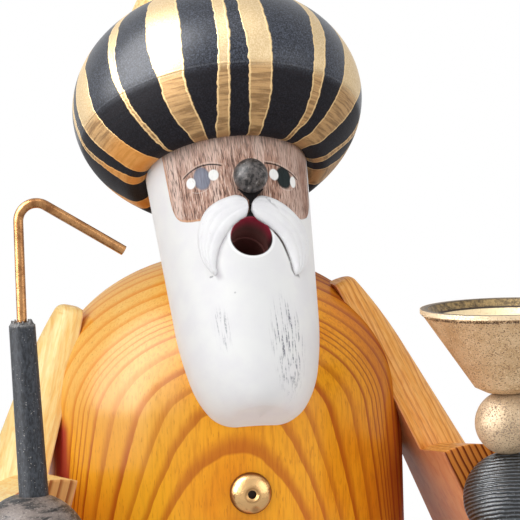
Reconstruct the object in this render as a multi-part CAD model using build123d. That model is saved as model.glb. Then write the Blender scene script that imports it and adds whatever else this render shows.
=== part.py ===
from build123d import *
import os
from math import acos, asin, cos, degrees, radians, sin, sqrt

# Incense smoker: a turned wooden figure in a turban, with a goblet in one hand and a staff in the other.
# Millimetres, Z up, the figure faces -Y. The origin is the middle of the flat underside.
# The figure's own left is +X. Its upper half is hollow and lifts off a lower half that
# carries the dish for the incense cone; the smoke leaves by the mouth.

# Clearances and one overrun for all cuts
glue_gap = 0.05
peg_gap = 0.08
spigot_gap = 0.25
overrun = 2.0
quarter_turn = 90

# Base plate
base_radius = 48.0
base_height = 8.0
base_edge_round = 2.4
base_neck_depth = 0.8
base_neck_height = 1.4

# Lower half of the robe
robe_foot_radius = 44.5
robe_height = 50.0
robe_edge_round = 1.2
base_dowel_radius = 5.0
base_dowel_in_base = 5.0
base_dowel_in_robe = 15.0

# Waist joint: a turned spigot in the bore of the upper half
body_radius = 41.6
waist_chamfer = 0.7
chamber_radius = 24.0
spigot_height = 14.0
spigot_chamfer = 1.0

# Air well behind the dish and the draught hole in the back
well_radius = 4.0
well_offset = 17.5
well_sump = 2.0
draught_radius = 3.0
draught_height = 12.0

# Dish for the incense cone, pressed from sheet, and its nail
dish_radius = 11.0
dish_depth = 2.2
dish_sheet = 0.6
dish_corner = 1.0
nail_radius = 0.9
nail_length = 9.0
nail_head_radius = 1.9
nail_head_height = 0.7

# Upper half: a straight trunk under a flattened dome, bored out for the smoke
trunk_height = 54.4
dome_height = 34.0
dome_flat_radius = 2.0
chamber_trunk_height = 46.0
channel_radius = 4.2

# Button on the chest
button_height = 37.8
button_side_step = -1.8
button_radius = 4.7
button_depth = 3.2
button_rim = 0.9
button_dimple_radius = 1.7
button_dimple_depth = 0.6
button_seat_depth = 0.35
button_nail_length = 9.0

# Head: one long turned piece leaning back, its chin in front of the chest
head_lean = 31.5
chin_reach = 45.0
chin_rise = 1.35
head_radius = 18.65
head_length = 61.3
head_top_sunk = 2.0
cheek_share = (0.874, 0.359)
jaw_share = (0.772, 0.150)
chin_edge_share = (0.606, 0.036)
chin_flat_share = (0.343, -0.010)
mouth_radius = 4.6
mouth_place_share = 0.5905
mouth_side_step = 0.4
mouth_depth = 11.0
head_dowel_radius = 4.0
head_dowel_in_head = 12.0
head_dowel_in_cap = 8.0

# Nose bead
nose_radius = 3.9
nose_place_share = 0.811
nose_stand = 20.5
nose_side_step = 1.3

# Moustache: two flat carved pieces bent round the head, outlines from the middle of the mouth
moustache_relief = 1.4
left_moustache_shares = (
    (0.050, 0.340), (0.085, 0.450), (0.195, 0.528), (0.386, 0.493), (0.579, 0.402),
    (0.722, 0.280), (0.786, 0.120), (0.770, -0.070), (0.700, -0.262), (0.606, -0.425),
    (0.533, -0.492), (0.499, -0.440), (0.494, -0.330), (0.456, -0.193), (0.391, -0.048),
    (0.306, 0.075), (0.198, 0.166), (0.095, 0.240),
)
right_moustache_shares = (
    (0.024, 0.370), (-0.012, 0.480), (-0.110, 0.542), (-0.246, 0.525), (-0.386, 0.483),
    (-0.500, 0.410), (-0.580, 0.270), (-0.619, 0.090), (-0.619, -0.130), (-0.575, -0.330),
    (-0.505, -0.468), (-0.462, -0.440), (-0.456, -0.343), (-0.434, -0.236), (-0.391, -0.107),
    (-0.316, 0.021), (-0.220, 0.129), (-0.113, 0.209), (-0.015, 0.268),
)

# Turban: a flattened turned ball, hollowed under for the head and cut flat for the cap
turban_radius = 33.7
turban_half_height = 25.6
turban_drop = 17.7
turban_lip_share = 0.757
turban_lip_middle_shares = (0.665, 0.742)
cap_radius = 18.9
cap_height = 16.0
cap_bulge_share = 0.375

# Arms: each is half of a turned cone, cut at the elbow and turned over, flat side to the body
shoulder_radius = 5.1
sleeve_radius = 9.2
sleeve_place = 20.0
sleeve_flare_share = 0.1123
shoulder_round = 2.4
cuff_edge_round = 0.6
left_shoulder_side = 24.4
left_shoulder_front = 10.1
left_shoulder_height = 80.8
left_splay = 24.1
left_upper_length = 53.9
left_forearm_length = 37.3
left_toe_out = 1.9
right_shoulder_side = 33.6
right_shoulder_front = 2.0
right_shoulder_height = 77.2
right_splay = 16.45
right_upper_length = 49.4
right_forearm_length = 40.5
right_toe_out = -3.9
shoulder_dowel_radius = 2.0
shoulder_dowel_length = 10.0
shoulder_dowel_place_share = 0.3

# Hands: balls glued to the ends of the sleeves with a short dowel
left_hand_radius = 10.25
right_hand_radius = 12.6
hand_flat_depth = 0.6
left_hand_step_out = 7.3
left_hand_rise = 3.8
right_hand_step_out = 9.0
right_hand_rise = 1.7
wrist_dowel_radius = 2.0
wrist_dowel_length = 12.0

# Goblet standing on the left hand
knop_radius = 7.25
knop_sunk = 0.35
bowl_rim_radius = 18.85
bowl_foot_radius = 4.4
bowl_shoulder_radius = 7.1
bowl_shoulder_height = 1.3
bowl_height = 19.1
bowl_wall = 1.7
bowl_floor = 4.4
bowl_lip_height = 1.0
bowl_groove_depth = 0.35
goblet_pin_radius = 1.5
goblet_pin_in_hand = 6.0
goblet_pin_in_bowl = 2.6

# Staff plugged into the right hand, with a bent wire in its top
staff_lean = 1.9
staff_side_step = 1.2
staff_foot_radius = 3.25
staff_top_radius = 2.9
staff_length = 38.0
staff_top_chamfer = 0.5
staff_peg_radius = 2.1
staff_peg_length = 10.0
staff_seat_depth = 0.6
wire_radius = 1.1
wire_socket = 8.0
wire_rise = 29.2
wire_reach = 27.1
wire_droop = 32.2
wire_bend_radius = 3.9

# Levels worked out from the sizes above
waist_z = base_height + robe_height
dome_z = waist_z + trunk_height
spigot_radius = chamber_radius - spigot_gap
spigot_top_z = waist_z + spigot_height


def turned(points, arcs=()):
    """Solid turned about Z from a closed half outline in the XZ plane."""
    face = make_face(Plane.XZ * (Polyline(*points, close=True) if not arcs else Curve() + list(arcs)))
    return revolve(face, Axis.Z)


def rod(radius, length, z=0.0):
    """Plain round rod along +Z that starts at height z."""
    return Pos(0, 0, z) * Cylinder(radius, length, align=(Align.CENTER, Align.CENTER, Align.MIN))


def on_axis(origin, z_dir, x_dir):
    """Location whose Z runs along z_dir and whose X is x_dir."""
    return Plane(origin=origin, x_dir=x_dir, z_dir=z_dir).location


def ball_of(radius):
    """Full ball, turned about Z."""
    return revolve(make_face(Plane.XZ * (Curve() + [
        CenterArc((0, 0), radius, -90, 180), Line((0, radius), (0, -radius)),
    ])), Axis.Z)


# Base plate with a rounded edge, a shallow neck under the robe and the dowel hole
def make_base_plate():
    plate = rod(base_radius, base_height - base_neck_height)
    plate = fillet(plate.edges().filter_by(GeomType.CIRCLE), base_edge_round)
    neck = rod(robe_foot_radius - base_neck_depth, base_neck_height, base_height - base_neck_height)
    hole = rod(base_dowel_radius + peg_gap, base_dowel_in_base + overrun, base_height - base_dowel_in_base)
    return plate + neck - hole


def make_base_dowel():
    return rod(base_dowel_radius, base_dowel_in_base + base_dowel_in_robe, base_height - base_dowel_in_base)


# Lower half of the robe: flared skirt, waist spigot, air well and draught hole
def make_lower_body():
    skirt = turned((
        (0, base_height), (robe_foot_radius, base_height),
        (body_radius, waist_z), (0, waist_z),
    ))
    foot_edge = skirt.edges().filter_by(GeomType.CIRCLE).sort_by(Axis.Z)[0]
    waist_edge = skirt.edges().filter_by(GeomType.CIRCLE).sort_by(Axis.Z)[-1]
    skirt = fillet(foot_edge, robe_edge_round)
    skirt = chamfer(skirt.edges().filter_by(GeomType.CIRCLE).sort_by(Axis.Z)[-1], waist_chamfer)
    spigot = rod(spigot_radius, spigot_height, waist_z)
    spigot = chamfer(spigot.edges().filter_by(GeomType.CIRCLE).sort_by(Axis.Z)[-1], spigot_chamfer)
    well_floor = base_height + draught_height - draught_radius - well_sump
    well = Pos(0, well_offset, 0) * rod(well_radius, spigot_top_z - well_floor + overrun, well_floor)
    draught = (
        Pos(0, well_offset, base_height + draught_height) * Rot(-90, 0, 0)
        * rod(draught_radius, robe_foot_radius - well_offset + overrun)
    )
    dowel_hole = rod(base_dowel_radius + peg_gap, base_dowel_in_robe + overrun, base_height - overrun)
    nail_hole = rod(nail_radius + peg_gap, nail_length + overrun, spigot_top_z - nail_length)
    return skirt + spigot - well - draught - dowel_hole - nail_hole


# Pressed dish, open upwards, with a hole for its nail
def make_incense_tray():
    dish = rod(dish_radius, dish_depth, spigot_top_z)
    dish = fillet(dish.edges().filter_by(GeomType.CIRCLE).sort_by(Axis.Z)[0], dish_corner)
    inside = rod(dish_radius - dish_sheet, dish_depth, spigot_top_z + dish_sheet)
    inside = fillet(inside.edges().filter_by(GeomType.CIRCLE).sort_by(Axis.Z)[0], dish_corner - dish_sheet)
    return dish - inside - rod(nail_radius + peg_gap, dish_depth + overrun, spigot_top_z - overrun)


def make_tray_nail():
    shank_foot = spigot_top_z + dish_sheet - nail_length
    head = rod(nail_head_radius, nail_head_height, spigot_top_z + dish_sheet)
    return rod(nail_radius, nail_length, shank_foot) + head


# Outside of the upper half without any cuts, grown by a gap where asked
def trunk_outside(gap=0.0):
    wide, high = body_radius + gap, dome_height + gap
    crown = EllipticalCenterArc((0, dome_z), wide, high, 0, arc_size=degrees(acos(dome_flat_radius / wide)))
    crown_top = (0, (crown @ 1).Y)
    outline = Curve() + [
        Line((0, waist_z), (wide, waist_z)), Line((wide, waist_z), (wide, dome_z)), crown,
        Line(crown @ 1, crown_top), Line(crown_top, (0, waist_z)),
    ]
    return revolve(make_face(Plane.XZ * outline), Axis.Z)


# Frame of the head: origin at the chin, Z up the head's axis, X to the figure's left
chin = (0, -chin_reach, dome_z + chin_rise)
head_up = (0, sin(radians(head_lean)), cos(radians(head_lean)))
head_front = (0, -cos(radians(head_lean)), sin(radians(head_lean)))
head_place = on_axis(chin, head_up, (1, 0, 0))
mouth_place = mouth_place_share * head_length
nose_place = nose_place_share * head_length


# The mouth's axis: square to the head's axis, out of the face
def mouth_bore(radius, depth_from_axis, reach):
    """Round bore about the mouth's axis, from a depth behind the head's axis out to a reach."""
    start = head_place * Pos(mouth_side_step, depth_from_axis, mouth_place) * Rot(90, 0, 0)
    return start * rod(radius, depth_from_axis + reach)


# Arms, worked out for one side. The forearm is the rest of the same cone, turned over on the
# mitre, so that both cuts match; that moves its axis down by the mitre's step
class Arm:
    def __init__(self, side, shoulder, splay, upper_length, forearm_length, toe_out, hand_radius, step_out, rise):
        reach, front, height = shoulder
        down = Vector(side * sin(radians(splay)), 0, -cos(radians(splay)))
        fore = Vector(side * sin(radians(toe_out)), -cos(radians(toe_out)), 0)
        fore = fore - down * fore.dot(down)
        self.down = down
        self.fore = fore.normalized()
        out = down.cross(self.fore).normalized()
        self.out = out if out.X * side > 0 else out * -1
        self.upper_length = upper_length
        self.shoulder = Vector(side * reach, -front, waist_z + height)
        self.elbow = self.shoulder + down * upper_length
        self.elbow_radius = sleeve_radius + sleeve_flare_share * (upper_length - sleeve_place)
        step = 2 * self.elbow_radius * sleeve_flare_share / (1 - sleeve_flare_share ** 2)
        self.forearm_foot = self.elbow + (down - self.fore) * step
        self.forearm_length = forearm_length + step
        self.cuff_radius = self.elbow_radius + sleeve_flare_share * self.forearm_length
        self.cuff = self.forearm_foot + self.fore * self.forearm_length
        self.hand_radius = hand_radius
        self.hand = self.cuff + self.fore * (hand_radius - hand_flat_depth) + self.out * step_out - down * rise

    def half_of(self, cone, start, direction):
        """Half of a turned cone, set from start along direction, flat side on the arm's plane."""
        size = (self.cuff_radius + self.upper_length) * 2
        keep = Box(size, size, size * 2, align=(Align.MIN, Align.CENTER, Align.CENTER))
        return on_axis(start, direction, self.out) * (cone & keep)

    def mitre(self, keep_upper):
        """Block on one side of the mitre plane at the elbow."""
        across = (self.down + self.fore).normalized()
        if keep_upper:
            across = across * -1
        size = (self.cuff_radius + self.upper_length) * 2
        block = Box(size, size, size, align=(Align.CENTER, Align.CENTER, Align.MIN))
        return on_axis(self.elbow, across, self.out) * block

    def upper_arm(self, gap=0.0):
        """Rounded shoulder, an arc to the sleeve, then the straight flare; grown by a gap where asked."""
        foot = self.upper_length + self.elbow_radius * 2
        foot_radius = sleeve_radius + sleeve_flare_share * (foot - sleeve_place)
        flare = Line((foot_radius + gap, foot), (sleeve_radius + gap, sleeve_place))
        arc = TangentArc(flare @ 1, (shoulder_radius + gap, 0), tangent=flare % 1)
        outline = Curve() + [flare, arc, Line(arc @ 1, (0, 0)), Line((0, 0), (0, foot)), Line((0, foot), flare @ 0)]
        cone = revolve(make_face(Plane.XZ * outline), Axis.Z)
        cone = fillet(cone.edges().filter_by(GeomType.CIRCLE).sort_by(Axis.Z)[0], shoulder_round)
        return self.half_of(cone, self.shoulder, self.down) & self.mitre(True)

    def forearm(self):
        back = self.elbow_radius * 2
        cone = turned((
            (0, -back), (self.elbow_radius - sleeve_flare_share * back, -back),
            (self.cuff_radius, self.forearm_length), (0, self.forearm_length),
        ))
        cone = fillet(cone.edges().filter_by(GeomType.CIRCLE).sort_by(Axis.Z)[-1], cuff_edge_round)
        return self.half_of(cone, self.forearm_foot, self.fore) & self.mitre(False)

    def wrist_axis(self, z_from_cuff):
        """Place on the wrist dowel's axis, a distance beyond the cuff's face."""
        return on_axis(self.hand - self.fore * (self.hand_radius - hand_flat_depth - z_from_cuff), self.fore, self.out)

    def shoulder_dowel(self, radius, length):
        """Rod centred on the arm's flat plane, square to it."""
        start = self.shoulder + self.down * (self.upper_length * shoulder_dowel_place_share)
        return on_axis(start - self.out * (length / 2), self.out, self.fore) * rod(radius, length)

    def hand_ball(self):
        """Ball with a flat where it meets the cuff."""
        flat = self.wrist_axis(0) * Pos(0, 0, -self.hand_radius) * rod(self.hand_radius, self.hand_radius)
        return Pos(*self.hand) * ball_of(self.hand_radius) - flat


left_arm = Arm(
    1, (left_shoulder_side, left_shoulder_front, left_shoulder_height),
    left_splay, left_upper_length, left_forearm_length,
    left_toe_out, left_hand_radius, left_hand_step_out, left_hand_rise,
)
right_arm = Arm(
    -1, (right_shoulder_side, right_shoulder_front, right_shoulder_height),
    right_splay, right_upper_length, right_forearm_length,
    right_toe_out, right_hand_radius, right_hand_step_out, right_hand_rise,
)
arms = (left_arm, right_arm)


# Button place: on the trunk's surface, a little off the middle, facing straight out of it
button_turn = degrees(asin(button_side_step / body_radius))
button_frame = Rot(0, 0, button_turn) * Pos(0, -body_radius + button_seat_depth, waist_z + button_height) * Rot(90, 0, 0)


# Upper half: the trunk less the smoke chamber, the channel to the mouth and the seats
def make_upper_body():
    body = trunk_outside()
    rim = body.edges().filter_by(GeomType.CIRCLE).sort_by(Axis.Z)[0]
    body = chamfer(rim, waist_chamfer)
    roof_z = waist_z + chamber_trunk_height
    chamber_foot = waist_z - overrun
    chamber = revolve(make_face(Plane.XZ * (Curve() + [
        Line((0, chamber_foot), (chamber_radius, chamber_foot)),
        Line((chamber_radius, chamber_foot), (chamber_radius, roof_z)),
        CenterArc((0, roof_z), chamber_radius, 0, quarter_turn),
        Line((0, roof_z + chamber_radius), (0, chamber_foot)),
    ])), Axis.Z)
    body = body - chamber - mouth_bore(channel_radius, head_length, 0)
    for arm in arms:
        body = body - arm.upper_arm(glue_gap)
        body = body - arm.shoulder_dowel(shoulder_dowel_radius + peg_gap, shoulder_dowel_length)
    body = body - button_frame * rod(button_radius + glue_gap, overrun)
    return body - button_frame * rod(nail_radius + peg_gap, button_nail_length + overrun, -button_nail_length)


def share_of_head(share):
    """Point of the head's outline from its shares of the head's radius and length."""
    return (share[0] * head_radius, share[1] * head_length)


def make_head_blank():
    """The head's turned form: a slow taper above the cheek, three arcs below it and a flat chin."""
    top = head_length + head_top_sunk
    taper = Line((head_radius, head_length), share_of_head(cheek_share))
    jaw_arc = TangentArc(taper @ 1, share_of_head(jaw_share), tangent=taper % 1)
    chin_arc = TangentArc(jaw_arc @ 1, share_of_head(chin_edge_share), tangent=jaw_arc % 1)
    edge_arc = TangentArc(chin_arc @ 1, share_of_head(chin_flat_share), tangent=chin_arc % 1)
    foot = (0, (edge_arc @ 1).Y)
    outline = Curve() + [
        taper, jaw_arc, chin_arc, edge_arc, Line(edge_arc @ 1, foot), Line(foot, (0, top)),
        Line((0, top), (head_radius, top)), Line((head_radius, top), (head_radius, head_length)),
    ]
    return revolve(make_face(Plane.XZ * outline), Axis.Z)


nose_frame = head_place * Pos(nose_side_step, -nose_stand, nose_place) * Rot(90, 0, 0)


# Head: turned, hollowed at the back to sit on the dome, bored for the smoke and the dowel
def make_head():
    head = head_place * make_head_blank()
    head = head - trunk_outside(glue_gap)
    head = head - mouth_bore(mouth_radius, mouth_depth - head_radius, head_radius + overrun)
    head = head - mouth_bore(channel_radius, head_length, head_radius)
    top = head_length + head_top_sunk
    head = head - head_place * rod(head_dowel_radius + peg_gap, head_dowel_in_head + overrun, top - head_dowel_in_head)
    head = head - nose_frame * ball_of(nose_radius + glue_gap)
    return head.solids().sort_by(SortBy.VOLUME)[-1]


def make_nose():
    return nose_frame * ball_of(nose_radius)


# One half of the moustache: its outline cut out of a shell that follows the head
def make_moustache(shares):
    points = [(x * head_radius, mouth_place + y * head_radius) for x, y in shares]
    outline = Plane.XZ * make_face(Spline(*points, periodic=True))
    block = extrude(outline, head_radius * 2, dir=(0, -1, 0))
    cheek_x, cheek_z = share_of_head(cheek_share)
    shell = turned((
        (cheek_x + glue_gap, cheek_z), (cheek_x + moustache_relief, cheek_z),
        (head_radius + moustache_relief, head_length), (head_radius + glue_gap, head_length),
    ))
    piece = (shell & block).solids().sort_by(SortBy.VOLUME)[-1]
    return head_place * piece


# Turban: turned about the head's axis, hollow under for the head, bored through for the dowel
turban_middle = head_length + turban_drop
cap_seat = turban_half_height * sqrt(1 - (cap_radius / turban_radius) ** 2)


def make_turban():
    lip_radius = turban_lip_share * turban_radius
    lip_height = -turban_half_height * sqrt(1 - turban_lip_share ** 2)
    slope = (turban_half_height / turban_radius) ** 2 * lip_radius / lip_height
    lip_angle = degrees(asin(lip_height / turban_half_height))
    seat_angle = degrees(asin(cap_seat / turban_half_height))
    recess = head_radius + glue_gap
    middle = (turban_lip_middle_shares[0] * turban_radius, -turban_lip_middle_shares[1] * turban_half_height)
    ball_side = EllipticalCenterArc(
        (0, 0), turban_radius, turban_half_height, lip_angle, arc_size=seat_angle - lip_angle,
    )
    lip = Spline(
        (recess, -turban_drop), middle, (lip_radius, lip_height),
        tangents=((0.6, -0.8), (1, -slope)),
    )
    outline = Curve() + [
        lip, ball_side, Line((cap_radius, cap_seat), (0, cap_seat)),
        Line((0, cap_seat), (0, -turban_drop + head_top_sunk)),
        Line((0, -turban_drop + head_top_sunk), (recess, -turban_drop + head_top_sunk)),
        Line((recess, -turban_drop + head_top_sunk), (recess, -turban_drop)),
    ]
    body = revolve(make_face(Plane.XZ * outline), Axis.Z)
    bore = rod(head_dowel_radius + peg_gap, turban_half_height * 3, -turban_half_height * 1.5)
    return head_place * Pos(0, 0, turban_middle) * (body - bore)


# Cap: a turned dome on the flat top of the turban
def make_turban_cap():
    bulge = cap_height * cap_bulge_share
    half = cap_height + bulge
    wide = cap_radius / sqrt(1 - (bulge / half) ** 2)
    start = degrees(asin(bulge / half))
    outline = Curve() + [
        Line((0, 0), (cap_radius, 0)),
        EllipticalCenterArc((0, -bulge), wide, half, start, arc_size=quarter_turn - start),
        Line((0, cap_height), (0, 0)),
    ]
    dome = revolve(make_face(Plane.XZ * outline), Axis.Z)
    hole = rod(head_dowel_radius + peg_gap, head_dowel_in_cap + overrun, -overrun)
    return head_place * Pos(0, 0, turban_middle + cap_seat) * (dome - hole)


def make_turban_dowel():
    foot = head_length + head_top_sunk - head_dowel_in_head
    top = turban_middle + cap_seat + head_dowel_in_cap
    return head_place * rod(head_dowel_radius, top - foot, foot)


# Button: a flat turned bead with a dimple, held by a nail
def make_chest_button():
    dome = Curve() + [
        Line((0, 0), (button_radius, 0)), Line((button_radius, 0), (button_radius, button_rim)),
        EllipticalCenterArc((0, button_rim), button_radius, button_depth - button_rim, 0, arc_size=quarter_turn),
        Line((0, button_depth), (0, 0)),
    ]
    bead = revolve(make_face(Plane.XZ * dome), Axis.Z)
    dimple_ball = (button_dimple_radius ** 2 + button_dimple_depth ** 2) / (2 * button_dimple_depth)
    dimple = Pos(0, 0, button_depth - button_dimple_depth + dimple_ball) * ball_of(dimple_ball)
    hole = rod(nail_radius + peg_gap, button_depth + overrun * 2, -overrun)
    return button_frame * (bead - dimple - hole)


def make_button_nail():
    return button_frame * rod(nail_radius, button_nail_length + button_depth / 2, -button_nail_length)


# Goblet on the left hand: knop ball and hollow bowl on one pin
goblet_x, goblet_y, goblet_z = left_arm.hand
goblet_seat_z = goblet_z + left_hand_radius - knop_sunk
knop_z = goblet_seat_z + knop_radius - knop_sunk
bowl_z = knop_z + knop_radius - knop_sunk
goblet_foot = Pos(goblet_x, goblet_y, 0)


def goblet_pin(gap=0.0):
    foot = goblet_z + left_hand_radius - goblet_pin_in_hand
    return goblet_foot * rod(goblet_pin_radius + gap, bowl_z + goblet_pin_in_bowl - foot, foot)


def make_goblet_knop():
    ball = Pos(0, 0, knop_z) * ball_of(knop_radius)
    slab = rod(knop_radius, (knop_radius - knop_sunk) * 2, knop_z - knop_radius + knop_sunk)
    return goblet_foot * (ball & slab) - goblet_pin(peg_gap)


def make_goblet_bowl():
    rim_inner = bowl_rim_radius - bowl_wall
    lip_foot = bowl_height - bowl_lip_height
    groove = bowl_lip_height * 0.6
    cone_radius = bowl_rim_radius - bowl_groove_depth
    outline = (
        (0, 0), (bowl_foot_radius, 0), (bowl_shoulder_radius, bowl_shoulder_height),
        (cone_radius - bowl_groove_depth, lip_foot - groove), (cone_radius, lip_foot),
        (bowl_rim_radius, lip_foot), (bowl_rim_radius, bowl_height), (rim_inner, bowl_height),
        (bowl_shoulder_radius - bowl_wall, bowl_floor), (0, bowl_floor),
    )
    return goblet_foot * Pos(0, 0, bowl_z) * turned(outline) - goblet_pin(peg_gap)


def make_left_hand():
    top_flat = goblet_foot * rod(knop_radius, overrun, goblet_seat_z)
    wrist = left_arm.wrist_axis(-wrist_dowel_length / 2) * rod(wrist_dowel_radius + peg_gap, wrist_dowel_length)
    return left_arm.hand_ball() - top_flat - wrist - goblet_pin(peg_gap)


# Staff: a tapered rod whose peg plugs into the right hand, leaning a little outwards
staff_up = Vector(-sin(radians(staff_lean)), 0, cos(radians(staff_lean)))
staff_seat = right_arm.hand + Vector(staff_side_step, 0, 0) + staff_up * (right_hand_radius - staff_seat_depth)
staff_frame = on_axis(staff_seat, staff_up, (cos(radians(staff_lean)), 0, sin(radians(staff_lean))))
staff_top = staff_seat + staff_up * staff_length


def make_right_hand():
    seat = staff_frame * rod(staff_foot_radius * 1.5, overrun)
    socket = staff_frame * rod(staff_peg_radius + peg_gap, staff_peg_length + overrun * 2, -staff_peg_length - overrun / 4)
    wrist = right_arm.wrist_axis(-wrist_dowel_length / 2) * rod(wrist_dowel_radius + peg_gap, wrist_dowel_length)
    return right_arm.hand_ball() - seat - socket - wrist


def wire_path():
    """Centre line of the wire: up out of the rod, round one bend and down to its cut end."""
    foot = staff_top - Vector(0, 0, wire_socket)
    corner = staff_top + Vector(0, 0, wire_rise)
    end = corner + Vector(cos(radians(wire_droop)), 0, -sin(radians(wire_droop))) * wire_reach
    return FilletPolyline(foot, corner, end, radius=wire_bend_radius)


def make_staff_rod():
    taper = turned((
        (0, 0), (staff_foot_radius, 0), (staff_top_radius, staff_length - staff_top_chamfer),
        (staff_top_radius - staff_top_chamfer, staff_length), (0, staff_length),
    ))
    body = staff_frame * (taper + rod(staff_peg_radius, staff_peg_length, -staff_peg_length))
    socket = Pos(*staff_top) * rod(wire_radius + peg_gap, wire_socket + overrun, -wire_socket)
    return body - socket


def make_staff_hook():
    foot = staff_top - Vector(0, 0, wire_socket)
    section = Plane(origin=foot, z_dir=(0, 0, 1)) * Circle(wire_radius)
    return sweep(section, path=wire_path())


# Arms bored for the dowels inside them
def make_wrist_dowel(arm):
    return arm.wrist_axis(-wrist_dowel_length / 2) * rod(wrist_dowel_radius, wrist_dowel_length)


def arm_with_dowel_hole(arm):
    return arm.upper_arm() - arm.shoulder_dowel(shoulder_dowel_radius + peg_gap, shoulder_dowel_length)


def forearm_with_dowel_hole(arm):
    hole = arm.wrist_axis(-wrist_dowel_length / 2) * rod(wrist_dowel_radius + peg_gap, wrist_dowel_length)
    return arm.forearm() - hole


nodes = {
    "base_plate": make_base_plate(),
    "base_dowel": make_base_dowel(),
    "lower_body": make_lower_body(),
    "incense_tray": make_incense_tray(),
    "tray_nail": make_tray_nail(),
    "upper_body": make_upper_body(),
    "head": make_head(),
    "nose": make_nose(),
    "moustache_left": make_moustache(left_moustache_shares),
    "moustache_right": make_moustache(right_moustache_shares),
    "turban": make_turban(),
    "turban_cap": make_turban_cap(),
    "turban_dowel": make_turban_dowel(),
    "chest_button": make_chest_button(),
    "button_nail": make_button_nail(),
    "left_upper_arm": arm_with_dowel_hole(left_arm),
    "left_forearm": forearm_with_dowel_hole(left_arm),
    "left_hand": make_left_hand(),
    "right_upper_arm": arm_with_dowel_hole(right_arm),
    "right_forearm": forearm_with_dowel_hole(right_arm),
    "right_hand": make_right_hand(),
    "left_shoulder_dowel": left_arm.shoulder_dowel(shoulder_dowel_radius, shoulder_dowel_length),
    "right_shoulder_dowel": right_arm.shoulder_dowel(shoulder_dowel_radius, shoulder_dowel_length),
    "left_wrist_dowel": make_wrist_dowel(left_arm),
    "right_wrist_dowel": make_wrist_dowel(right_arm),
    "goblet_bowl": make_goblet_bowl(),
    "goblet_knop": make_goblet_knop(),
    "goblet_pin": goblet_pin(),
    "staff_rod": make_staff_rod(),
    "staff_hook": make_staff_hook(),
}

os.makedirs("parts", exist_ok=True)
for name, shape in nodes.items():
    export_step(shape, "parts/" + name + ".step")
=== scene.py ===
from math import asin, cos, pi, radians, sin

import bmesh
import bpy
from mathutils import Matrix, Vector


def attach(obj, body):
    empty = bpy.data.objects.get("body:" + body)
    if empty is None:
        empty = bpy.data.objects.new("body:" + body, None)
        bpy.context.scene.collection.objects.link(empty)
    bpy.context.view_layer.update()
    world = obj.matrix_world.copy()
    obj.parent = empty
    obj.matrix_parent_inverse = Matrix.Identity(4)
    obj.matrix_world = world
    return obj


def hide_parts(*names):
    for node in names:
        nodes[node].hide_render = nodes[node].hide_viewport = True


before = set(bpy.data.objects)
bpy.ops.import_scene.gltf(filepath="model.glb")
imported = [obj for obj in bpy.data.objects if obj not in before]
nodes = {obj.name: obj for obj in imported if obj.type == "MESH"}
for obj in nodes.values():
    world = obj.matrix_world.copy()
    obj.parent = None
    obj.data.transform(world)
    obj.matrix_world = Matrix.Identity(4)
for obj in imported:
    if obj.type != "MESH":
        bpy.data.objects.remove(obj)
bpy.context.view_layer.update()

# Camera: a long lens in front, a little to the figure's right and above, rolled slightly.
# The picture is 520 by 520, and the lens gives 4.255 pixels to a millimetre at the robe.
MM = 0.001


def put_in_scene(thing, name):
    """New object from a mesh, curve, light or camera, linked to the scene."""
    made = bpy.data.objects.new(name, thing)
    bpy.context.scene.collection.objects.link(made)
    return made


def outward(azimuth, height):
    """Direction out from the figure in degrees; azimuth 0 is in front of it."""
    turn, rise = radians(azimuth), radians(height)
    return Vector((sin(turn) * cos(rise), -cos(turn) * cos(rise), sin(rise)))


picture_side, film_side = 520, 36
view_azimuth, view_height, view_roll = -10, 7.5, radians(1.8)
view_distance, view_focus = 900 * MM, 3829.5
aim, aim_pixel = Vector((0, 0, 112.4 * MM)), (223.5, 396.6)
back = outward(view_azimuth, view_height)
level = Vector((cos(radians(view_azimuth)), sin(radians(view_azimuth)), 0))
upright = back.cross(level)
side = level * cos(view_roll) - upright * sin(view_roll)
up = level * sin(view_roll) + upright * cos(view_roll)
off_across, off_down = ((picture_side / 2 - pixel) / view_focus for pixel in aim_pixel)
forward = -back + side * off_across - up * off_down
forward.normalize()
side = forward.cross(up).normalized()
up = side.cross(forward)
lens = bpy.data.cameras.new("camera")
lens.sensor_width = film_side
lens.lens = view_focus * film_side / picture_side
lens.clip_end = 20
camera = put_in_scene(lens, "camera")
camera_turn = Matrix((side, up, -forward)).transposed().to_4x4()
camera.matrix_world = Matrix.Translation(aim + back * view_distance) @ camera_turn
bpy.context.scene.camera = camera


# Shader building, first needed by the floor: a number over a surface that takes plain
# arithmetic, and a finish, which is one material with its nodes and one gloss shader.
def math_with(operation):
    """Method that adds one Math node."""
    def method(self, *others):
        return self.math(operation, *others)
    return method


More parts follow.
